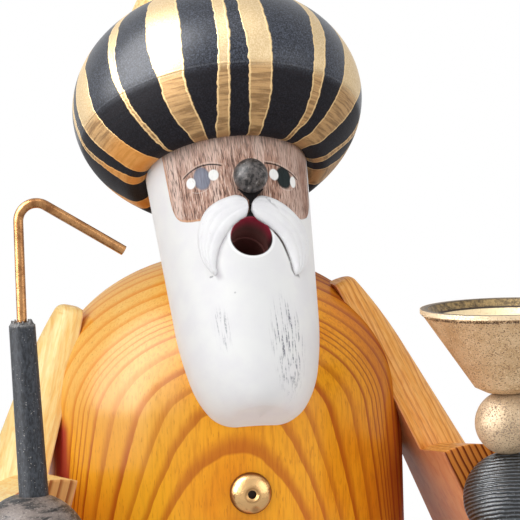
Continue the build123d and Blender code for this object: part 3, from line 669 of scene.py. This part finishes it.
# Mouth: red just inside its edge and bare brown wood further in, with a black line round it
# that is strongest below, and a painted highlight on the pale lip under that.
mouth_beside, mouth_above = left - mouth_across, up_head - mouth_up
mouth_out = (mouth_beside * mouth_beside + mouth_above * mouth_above).root()
surface_out = (left * left + out * out).root()
in_mouth = mouth_out.rises(4.75, 4.65) * out.rises(-2, 0) * surface_out.rises(18.0, 17.2)
mouth_line = mouth_out.band(4.25, 4.8, 0.12) * (0.35 + 0.65 * up_head.rises(mouth_up + 2, mouth_up - 1))
lip_highlight = mouth_out.band(4.8, 5.4, 0.2) * up_head.rises(mouth_up + 3, mouth_up)
depth = (surface_out - 8).rises(8.6, 3.5)
colour = head_paint.layers(
    colour,
    (lip_highlight * 0.7, paint(250, 250, 250)),
    (in_mouth, head_paint.mix(depth, paint(190, 56, 80), paint(164, 112, 106))),
    (mouth_line * out.rises(10, 12), paint(24, 16, 18)))
head_paint.set("Base Color", colour)
head_paint.set("Roughness", 0.38 + 0.2 * brush + 0.15 * bare)
head_paint.raised(
    brush * 0.25 * (1 - bare) - wood_pores * bare * 0.5 - dash_marks * 0.4 + (1 - bare) * 0.8, 0.12)
head_paint.wear("head")


# Nose: a turned bead of dark wood set in the face with its end grain showing.
nose_stain = Finish("nose_stain", Specular_IOR_Level=0.35)
nose_left, nose_out, nose_up = head_chart(nose_stain)
nose_grain = nose_stain.noise(1.0, 4.0, at=nose_stain.stack(nose_left, nose_out * 0.3, nose_up), rough=0.65)
nose_stain.coloured(
    paint(16, 14, 14),
    (nose_grain.rises(0.38, 0.6), paint(90, 84, 82)),
    (nose_grain.rises(0.6, 0.72) * 0.8, paint(176, 172, 168)),
    # Painted shade round the foot of the bead, where it meets the face.
    (nose_out.rises(18.6, 17.4), paint(22, 18, 18)))
nose_stain.set("Roughness", 0.28 + 0.3 * nose_grain)
nose_stain.raised(nose_grain, 0.15)
nose_stain.wear("nose")


# Moustache: two flat slips of wood with rounded edges and a few shallow cuts along the hair,
# bent round the head, glued on and painted white with the beard. The head is a little wider
# at their tops than at their tips.
moustache_relief, moustache_sunk, moustache_full_width = 1.4, 0.15, 2.6
moustache_cuts, moustache_cut_depth, moustache_cut_width = (0.24, 0.47, 0.7), 0.18, 0.035
beard_radius, beard_radius_up, head_flare = 16.3, 22, 0.0598
moustache_edges = {
    "left": (
        ((0.93, 42.5), (1.59, 44.6), (3.64, 46.0), (7.2, 45.4), (10.8, 43.7), (13.5, 41.4), (14.7, 38.4),
         (14.4, 34.9), (13.2, 31.6), (11.6, 28.9), (10.3, 27.8)),
        ((0.93, 42.5), (1.8, 40.7), (3.7, 39.4), (6.1, 37.7), (7.9, 35.4), (9.0, 32.6), (9.6, 30.3),
         (9.8, 28.7), (10.3, 27.8))),
    "right": (
        ((0.45, 43.1), (-0.2, 45.2), (-2.1, 46.3), (-4.6, 46.0), (-7.2, 45.2), (-9.3, 43.8), (-10.8, 41.2),
         (-11.5, 37.9), (-11.3, 33.8), (-10.2, 30.3), (-8.9, 28.2)),
        ((0.45, 43.1), (-0.3, 41.2), (-2.1, 40.1), (-4.1, 38.6), (-5.9, 36.6), (-7.3, 34.2), (-8.1, 31.8),
         (-8.4, 30.1), (-8.3, 28.8), (-8.9, 28.2)))}


def through(points, shares):
    """Smooth line through points, read at shares of its length."""
    points = [Vector(p) for p in points]
    ends = [points[0] * 2 - points[1]] + points + [points[-1] * 2 - points[-2]]
    line = [points[0]]
    for a, b, c, d in zip(ends, ends[1:], ends[2:], ends[3:]):
        for k in range(1, 9):
            t = k / 8
            line.append((b * 2 + (c - a) * t + (a * 2 - b * 5 + c * 4 - d) * t ** 2
                         + (b * 3 - a - c * 3 + d) * t ** 3) / 2)
    walked = [0.0]
    for a, b in zip(line, line[1:]):
        walked.append(walked[-1] + (b - a).length)
    read, k = [], 0
    for share in shares:
        while k < len(line) - 2 and walked[k + 1] < share * walked[-1]:
            k += 1
        read.append(line[k].lerp(line[k + 1], (share * walked[-1] - walked[k]) / (walked[k + 1] - walked[k])))
    return read


def on_head(across_head, up_the_head, raised):
    """Place in the model of a point over the head's surface."""
    surface = beard_radius + (up_the_head - beard_radius_up) * head_flare
    turn = asin(across_head / (surface + moustache_relief / 2))
    reach = surface + raised
    beside = Vector((1, 0, 0)) * reach * sin(turn)
    return (chin + head_up * up_the_head + beside + head_front * reach * cos(turn)) * MM


def moustache_half(side_name):
    """Closed slip of wood between its two edges: a rounded top with cuts and a plain underside."""
    steps, columns = 60, 30
    shares = [(1 - cos(pi * i / steps)) / 2 * 0.6 + i / steps * 0.4 for i in range(1, steps)]
    outer, inner = (through(edge, shares) for edge in moustache_edges[side_name])
    shape = bmesh.new()
    rows = []
    for share, far, near in zip(shares, outer, inner):
        row = []
        width = (far - near).length
        for j in range(columns + 1):
            w = (1 - cos(pi * j / columns)) / 2 * 0.5 + j / columns * 0.5
            spot = far.lerp(near, w)
            rounded = max(0, 1 - abs(2 * w - 1) ** 4) ** 0.5
            height = moustache_relief * min(1, width / moustache_full_width) ** 0.6 * rounded
            fade = min(1, share / 0.15) * min(1, (1 - share) / 0.1)
            for number, cut in enumerate(moustache_cuts):
                off = w - cut - 0.02 * sin(share * 9 + number * 2)
                height -= moustache_cut_depth * fade * 2.718 ** (-(off / moustache_cut_width) ** 2)
            height = height if 0 < j < columns else -moustache_sunk
            row.append(shape.verts.new(on_head(spot.x, spot.y, height)))
        rows.append(row)
    under = [[row[0]] + [
        shape.verts.new(on_head(*far.lerp(near, j / 8), -moustache_sunk)) for j in range(1, 8)] + [row[-1]]
        for row, far, near in zip(rows, outer, inner)]
    ends = [shape.verts.new(on_head(*moustache_edges[side_name][0][k], -moustache_sunk)) for k in (0, -1)]
    for sheet in (rows, under):
        for row, after in zip(sheet, sheet[1:]):
            for quad in zip(row, row[1:], after[1:], after):
                shape.faces.new(quad)
        for end, row in zip(ends, (sheet[0], sheet[-1])):
            for pair in zip(row, row[1:]):
                shape.faces.new((end, *pair))
    bmesh.ops.recalc_face_normals(shape, faces=shape.faces)
    for face in shape.faces:
        face.smooth = True
    mesh = bpy.data.meshes.new("moustache_" + side_name + "_slip")
    shape.to_mesh(mesh)
    shape.free()
    return put_in_scene(mesh, "moustache_" + side_name + "_slip")


moustache_paint = Finish("moustache_paint", Specular_IOR_Level=0.12)
moustache_brush = moustache_paint.noise(0.5, 3.0, stretch=(1, 1, 0.5))
moustache_mottle = moustache_paint.noise(4, 3.0)
moustache_left, _, moustache_up = head_chart(moustache_paint)
moustache_scar = painted_spot(moustache_left, moustache_up, (5.4, 44.4), 0.3, 1.9, -42, 0.8)
moustache_scar = moustache_scar * moustache_brush.rises(0.35, 0.5)
moustache_paint.coloured(
    paint(238, 238, 238),
    (moustache_mottle.rises(0.3, 0.7), paint(232, 231, 233)),
    (moustache_brush.rises(0.62, 0.8) * 0.35, paint(196, 194, 200)),
    (moustache_scar * 0.45, paint(120, 116, 120)))
moustache_paint.set("Roughness", 0.36 + 0.2 * moustache_brush)
moustache_paint.raised(moustache_brush * 0.5 - moustache_scar, 0.1)
for side_name in ("left", "right"):
    slip = moustache_half(side_name)
    moustache_paint.wear(slip)
    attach(slip, "upper")
    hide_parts("moustache_" + side_name)


# Turban: a flattened turned ball, lacquered black and striped in gold by hand, with a fine ridge
# round it. The stripes were drawn from the top down; each has a raised edge of paint, painted pale as a
# highlight.
# Both colours are painted darker below the ridge as shade, and the black above it has a painted blue-grey
# sheen.
# Each stripe has its two edges, as degrees round the turban and millimetres above its middle.
turban_middle, turban_reach, turban_mm_per_degree = chin + head_up * 79.0, 24, 0.52
turban_stripes = (
    (((-94.1, -5.9), (-95.1, -8.3), (-94.7, -11.2), (-93.1, -13.9), (-93, -17.5)),
     ((-90.2, -5.5), (-92, -8.2), (-90.6, -11.3), (-88.9, -13.9), (-86.9, -16.6), (-84, -18.8))),
    (((-82.9, 1.5), (-83.3, -2.5), (-83.5, -6.3), (-82.2, -10.6), (-80, -14.2), (-78.5, -17),
      (-76.7, -19), (-74.3, -20.1)),
     ((-73.4, 7.3), (-69.6, 1.4), (-69.6, -3.2), (-69.7, -6.7), (-68.4, -9.7), (-66.5, -12.7),
      (-64, -15.7), (-60.2, -18.2), (-56, -19.7))),
    (((-58.2, 14.6), (-57.4, 11.4), (-55.6, 5.7), (-54.5, 0.5), (-54, -3.7), (-52.7, -7.1),
      (-52.1, -10.1), (-51, -12.9), (-49.8, -15.5), (-48.5, -17.6), (-47.5, -18.4)),
     ((-52.7, 12.5), (-51.1, 8.5), (-51.2, 3.8), (-51, -1), (-50.6, -4.5), (-50, -7.2), (-49.3, -10.7),
      (-48.2, -13.4), (-46.8, -15.6), (-45.5, -18.3))),
    (((-39, 16.4), (-37, 10.9), (-36.2, 4.9), (-35.8, -0.1), (-34.9, -4.2), (-33.9, -7.5), (-34, -10.9),
      (-33.7, -13.6), (-32.3, -16.3), (-29.5, -18.2)),
     ((-23.3, 12.8), (-21.9, 8), (-21.5, 0.9), (-22, -4.4), (-22.8, -9.1), (-22.5, -12.2),
      (-21.5, -14.9), (-20, -17.9))),
    (((-8, 10.3), (-7.8, 3.7), (-7.9, -1.6), (-8.8, -6.1), (-10, -10.2), (-11.1, -13.8), (-12.8, -17.1),
      (-13.6, -17.9)),
     ((-2.8, 9.9), (-2.9, -0.4), (-4.1, -6.4), (-4.5, -10.4), (-5.1, -14.1), (-6.1, -17.9))),
    (((2.8, 9.8), (2.3, 5), (3, 0), (3.5, -4.8), (3.4, -12.4), (4.1, -15.9), (4.5, -17.8)),
     ((13, 10.1), (12.8, 4.7), (13.3, -0.8), (13.4, -5.9), (13.6, -10.4), (13.8, -13.4), (13.5, -15.8),
      (12.6, -17.7))),
    (((35.6, 8.4), (33.4, 3.1), (32.9, -2.2), (32.7, -6.9), (33.3, -10.9), (33.6, -14.3), (32.9, -17.1),
      (30.7, -18.6)),
     ((41.4, 4.7), (39.3, -0.6), (39, -6), (38.8, -10.3), (38.8, -13.8), (37.8, -16.4), (34.8, -17.9))),
    (((54.4, 4.5), (52.6, -0.8), (51.5, -5), (50, -8.5), (48.2, -12.2), (46.1, -15.5), (43.8, -17.7),
      (40.1, -19.1)),
     ((78, 6), (74.1, -1.1), (67.5, -7.4), (63.6, -11.9), (59, -15.7), (54.7, -18.3), (49.8, -19.3))),
    (((84, -6), (78.2, -13.2), (72.3, -16.9), (68.7, -19), (62.3, -20.5)),
     ((92, -6), (83.3, -12.5), (77.2, -16.6), (74.1, -19), (69.4, -20.9))),
    (((97, -4), (90.9, -12.5), (90, -15.3), (84.8, -18.3), (82.5, -20), (77.7, -21.1)),
     ((112, -4), (107, -12), (105, -17), (103.5, -20.7))),
    (((122, 12), (124, -2), (121, -20)),
     ((128, 12), (128, -2), (126, -20))),
    (((138, 12), (141, -3), (140, -20)),
     ((149, 12), (151, -3), (149, -20))),
    (((164, 12), (163, -3), (161, -20)),
     ((169, 12), (167, -3), (166, -20))),
    (((-176, 12), (-177, -3), (-176, -20)),
     ((-165, 12), (-164, -3), (-165, -20))),
    (((-152, 12), (-151, -3), (-150, -20)),
     ((-146, 12), (-147, -3), (-145, -20))),
    (((-131, 12), (-130, -3), (-128, -20)),
     ((-119, 12), (-118, -3), (-117, -20))))
turban_paint = Finish("turban_paint", Specular_IOR_Level=0.08, Coat_Roughness=0.32, Coat_IOR=1.5)
turban_left, turban_out = turban_paint.along((1, 0, 0)), turban_paint.along(head_front, turban_middle)
turban_up = turban_paint.along(head_up, turban_middle)
turban_turn = turban_left.math("ARCTAN2", turban_out) * (180 / pi)
turban_drawn = turban_turn + (turban_paint.noise(1.6, 2.0) - 0.5) * 1.6


def stripe_edge(points):
    """Degrees round the turban of a hand-drawn edge, at the height of the place shaded."""
    points = sorted((height, turn) for turn, height in points)
    points = [(-turban_reach, points[0][1])] + points + [(turban_reach, points[-1][1])]
    return turban_paint.curve(turban_up, points, (-turban_reach, turban_reach), (-180, 180))


turban_within = None
for edges in turban_stripes:
    low, high = (stripe_edge(points) for points in edges)
    depth_in = (turban_drawn - low).least(high - turban_drawn) * turban_mm_per_degree
    turban_within = turban_within.most(depth_in) if turban_within else depth_in
turban_gold = turban_within.rises(-0.12, 0.1)
# The raised edge of each gold stripe is painted pale as a highlight.
turban_edge = turban_within.band(0.05, 0.4, 0.1)
# Painted shade below the fine ridge, where the turban faces down.
turban_shaded_low = turban_up.rises(-5.0, -8.5)
turban_ridge = turban_up.band(-6.9, -6.5, 0.15)
turban_round = turban_paint.stack(turban_turn * 0.04, turban_up, 0)
turban_strokes = turban_paint.noise(0.7, 3.0, at=turban_round, rough=0.6)
# Speckle, which the black above the ridge shows as pale blue-grey flecks for a painted sheen.
turban_speckle_and_sheen = turban_paint.noise(0.36, 3.0, rough=0.7)
turban_orange = turban_turn.rises(-50, -62) * turban_up.rises(-11, -16)
gold_low = turban_paint.mix(turban_strokes.rises(0.4, 0.62), paint(176, 138, 92), paint(118, 84, 50))
gold = turban_paint.layers(
    paint(222, 200, 162),
    (turban_speckle_and_sheen.rises(0.3, 0.7), paint(198, 170, 126)),
    (turban_shaded_low * 0.85, gold_low),
    (turban_edge * 0.6, paint(236, 206, 152)),
    (turban_orange * 0.6, paint(222, 150, 62)))
black = turban_paint.layers(
    paint(24, 27, 35),
    (turban_speckle_and_sheen.rises(0.4, 0.7), paint(82, 88, 102)),
    (turban_shaded_low * 0.85, turban_paint.mix(turban_strokes, paint(8, 9, 12), paint(38, 32, 34))),
    (turban_ridge * 0.3 * turban_speckle_and_sheen.rises(0.3, 0.6), paint(120, 124, 132)))
turban_paint.coloured(black, (turban_gold, gold))
turban_paint.set("Metallic", turban_gold * 0.65)
turban_paint.set("Coat Weight", (1 - turban_shaded_low) * (1 - turban_gold) * 0.5)
turban_paint.set("Roughness", 0.34 + 0.2 * turban_speckle_and_sheen + 0.1 * turban_shaded_low)
turban_strokes_low = turban_strokes * 0.4 * turban_shaded_low
turban_paint.raised(
    turban_gold * 0.5 + turban_edge * 0.5 + turban_strokes_low + turban_speckle_and_sheen * 0.35 + turban_ridge, 0.1)
turban_paint.wear("turban")


# Cap: a turned dome on the turban's flat top, painted in the same gold, with some of its
# brush marks left. The dowel comes up into it from below.
cap_paint = Finish("cap_paint", Metallic=0.8)
cap_strokes = cap_paint.noise(0.8, 3.0, stretch=(0.4, 0.4, 1.4))
cap_paint.coloured(paint(232, 200, 140), (cap_strokes.rises(0.35, 0.7), paint(190, 148, 88)))
cap_paint.set("Roughness", 0.3 + 0.3 * cap_strokes)
cap_paint.raised(cap_strokes, 0.08)
cap_paint.wear("turban_cap")


# Goblet: a turned knop and a turned, hollow bowl, painted bronze over the open grain, which
# leaves it speckled. Its lip is paler, and the paint has gathered in beads below it, with a beaded
# shadow painted under the lip. Inside, the bowl has a painted reflection.
goblet_axis, lip_foot, bowl_foot = Vector((54.02, -56.81, 0)), 135.73, 117.63
bowl_flare, bowl_foot_radius = 0.655, 6.25
goblet_paint = Finish("goblet_paint")
goblet_radius = goblet_paint.from_axis(goblet_axis)
goblet_high = goblet_paint.along((0, 0, 1))
goblet_flecks = goblet_paint.noise(0.42, 2.0, rough=0.6)
goblet_pits = goblet_paint.noise(0.34, 1.0, shift=12)
goblet_clouds = goblet_paint.noise(3.5, 2.0)
goblet_wall = (goblet_high - bowl_foot) * bowl_flare + bowl_foot_radius
goblet_inside = (goblet_wall - goblet_radius).rises(0.8, 1.2) * goblet_high.rises(119, 121)
goblet_lip = goblet_high.rises(lip_foot - 0.05, lip_foot + 0.1) * goblet_radius.rises(18.5, 18.75)
goblet_top = goblet_high.rises(136.5, 136.66) * goblet_radius.rises(18.8, 18.65)
goblet_shadow_under_lip = (goblet_high.band(134.9, 135.5, 0.15) * goblet_pits.rises(0.4, 0.5)
                    * goblet_radius.rises(17, 17.6))
goblet_knop = goblet_high.rises(bowl_foot + 0.3, bowl_foot - 0.3)
# Inside the bowl: greenish brown near the rim and bright cream lower down, with a dark line between; the
# cream and the line are a painted reflection.
goblet_inside_and_reflection = goblet_paint.layers(
    paint(150, 126, 82),
    (goblet_paint.noise(1.1, 3.0, rough=0.7).rises(0.35, 0.65), paint(74, 58, 34)),
    (goblet_high.rises(135.15, 134.85), paint(232, 212, 172)),
    (goblet_high.band(134.75, 135.15, 0.08), paint(44, 30, 18)))
goblet_paint.coloured(
    paint(220, 188, 146),
    (goblet_clouds.rises(0.3, 0.7), paint(202, 166, 122)),
    (goblet_flecks.rises(0.55, 0.68) * 0.8, paint(240, 216, 176)),
    (goblet_pits.rises(0.56, 0.66) * 0.8, paint(118, 78, 44)),
    (goblet_lip * (0.4 + 0.4 * goblet_flecks), paint(238, 218, 184)),
    (goblet_shadow_under_lip, paint(88, 62, 40)),
    (goblet_inside, goblet_inside_and_reflection),
    (goblet_knop * goblet_clouds.rises(0.45, 0.6) * goblet_pits.rises(0.45, 0.55) * 0.6, paint(120, 92, 64)),
    (goblet_knop * 0.35, paint(176, 164, 146)),
    (goblet_top * 0.85, paint(72, 56, 34)))
goblet_paint.set("Metallic", 0.4 - 0.14 * goblet_knop)
goblet_paint.set("Roughness", 0.36 + 0.25 * goblet_flecks + 0.08 * goblet_knop)
goblet_paint.raised(goblet_flecks * 0.5 - goblet_pits.rises(0.58, 0.72), 0.12)
goblet_paint.wear("goblet_bowl", "goblet_knop")


def node_in(tree, kind, values, **settings):
    """A geometry node with its settings and then its sockets' values or links."""
    node = tree.nodes.new(kind)
    for name, value in settings.items():
        setattr(node, name, value)
    for name, value in values.items():
        if isinstance(value, bpy.types.NodeSocket):
            tree.links.new(value, node.inputs[name])
        else:
            node.inputs[name].default_value = value
    return node


def ring_of_bits(name, finish, bit, sizes, seed, place):
    """Small bits of random size set round a ring, made once and kept as a plain mesh in its place."""
    tree = bpy.data.node_groups.new(name + "_ring", "GeometryNodeTree")
    for label, size in sizes.items():
        kind = "NodeSocketInt" if isinstance(size, int) else "NodeSocketFloat"
        tree.interface.new_socket(label, in_out="INPUT", socket_type=kind)
    tree.interface.new_socket("Geometry", in_out="OUTPUT", socket_type="NodeSocketGeometry")
    given = tree.nodes.new("NodeGroupInput").outputs
    ring = node_in(
        tree, "GeometryNodeMeshCircle", {"Vertices": given["Count"], "Radius": given["Ring Radius"]})
    shape = node_in(tree, *bit)

    def random_between(low, high, seed_step):
        return node_in(tree, "FunctionNodeRandomValue", {2: low, 3: high, 8: seed + seed_step}).outputs[1]

    height = random_between(given["Smallest"], given["Largest"], 0)
    wide = random_between(0.7, 1.3, 1)
    width = node_in(tree, "ShaderNodeMath", {0: given["Bit Width"], 1: wide}, operation="MULTIPLY").outputs[0]
    scale = node_in(tree, "ShaderNodeCombineXYZ", {0: width, 1: width, 2: height})
    spin = random_between(0.0, 6.28, 2)
    lean = random_between(0.0, given["Tilt"], 3)
    turn = node_in(tree, "ShaderNodeCombineXYZ", {0: lean, 2: spin})
    euler = node_in(tree, "FunctionNodeEulerToRotation", {0: turn.outputs[0]})
    bits = node_in(tree, "GeometryNodeInstanceOnPoints", {
        "Points": ring.outputs[0], "Instance": shape.outputs[0],
        "Rotation": euler.outputs[0], "Scale": scale.outputs[0]})
    real = node_in(tree, "GeometryNodeRealizeInstances", {0: bits.outputs[0]})
    finished = node_in(
        tree, "GeometryNodeSetMaterial", {"Geometry": real.outputs[0], "Material": finish.material})
    node_in(tree, "NodeGroupOutput", {0: finished.outputs[0]})
    holder = put_in_scene(bpy.data.meshes.new(name + "_start"), name + "_start")
    modifier = holder.modifiers.new("ring", "NODES")
    modifier.node_group = tree
    for socket in tree.interface.items_tree:
        if socket.in_out == "INPUT":
            modifier[socket.identifier] = sizes[socket.name]
    mesh = bpy.data.meshes.new_from_object(holder.evaluated_get(bpy.context.evaluated_depsgraph_get()))
    bpy.data.objects.remove(holder)
    mesh.transform(place)
    return put_in_scene(mesh, name)


paint_beads = ring_of_bits(
    "goblet_paint_beads", goblet_paint, ("GeometryNodeMeshIcoSphere", {"Radius": 1.0, "Subdivisions": 1}),
    {"Ring Radius": 18.3 * MM, "Count": 150, "Bit Width": 0.24 * MM, "Smallest": 0.14 * MM,
     "Largest": 0.3 * MM, "Tilt": 0.0},
    5, Matrix.Translation(Vector((goblet_axis.x, goblet_axis.y, lip_foot - 0.3)) * MM))
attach(paint_beads, "upper")


# Staff: a turned rod stained black, its peg plugged into the right hand. The saw left its top
# ragged, with grey splinters round the hole for the wire.
staff_stain = Finish("staff_stain", Specular_IOR_Level=0.3)
staff_grain = staff_stain.noise(0.5, 3.0, rough=0.65, stretch=(1, 1, 0.4))
staff_dust = staff_stain.noise(0.4, 1.0, shift=15).rises(0.7, 0.76)
staff_high = staff_stain.along((0, 0, 1))
staff_torn = staff_high.rises(137.2, 138.2) * staff_grain.rises(0.35, 0.5)
staff_stain.coloured(
    paint(26, 28, 33),
    (staff_grain.rises(0.35, 0.7), paint(62, 66, 73)),
    (staff_dust * 0.7, paint(190, 186, 180)),
    (staff_torn * 0.6, paint(150, 148, 146)))
staff_stain.set("Roughness", 0.36 + 0.25 * staff_grain)
staff_stain.raised(staff_grain * 0.8 + staff_dust * 0.3, 0.12)
staff_stain.wear("staff_rod")
staff_top = set_along(Vector((-53.70, -54.98, 138.1)) * MM, Vector((-0.033155, 0, 0.99945)))
splinters = ring_of_bits(
    "staff_splinters", staff_stain,
    ("GeometryNodeMeshCone", {"Vertices": 5, "Radius Top": 0.25, "Radius Bottom": 1.0, "Depth": 1.0}),
    {"Ring Radius": 2.15 * MM, "Count": 17, "Bit Width": 0.5 * MM, "Smallest": 0.25 * MM,
     "Largest": 1.1 * MM, "Tilt": 0.35},
    11, staff_top)
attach(splinters, "staff")


# Hook: drawn brass wire bent twice and pushed into the rod. It has fine marks and has gone
# brown in places.
hook_brass = Finish("hook_brass", Metallic=1.0)
hook_tarnish = hook_brass.noise(2.6, 3.0, rough=0.6)
hook_marks = hook_brass.noise(0.35, 2.0)
hook_brass.coloured(
    paint(182, 134, 88),
    (hook_tarnish.rises(0.35, 0.7), paint(128, 86, 54)),
    (hook_marks.rises(0.55, 0.75) * 0.5, paint(104, 70, 44)))
hook_brass.set("Roughness", 0.16 + 0.2 * hook_tarnish)
hook_brass.raised(hook_marks, 0.04)
hook_brass.wear("staff_hook")
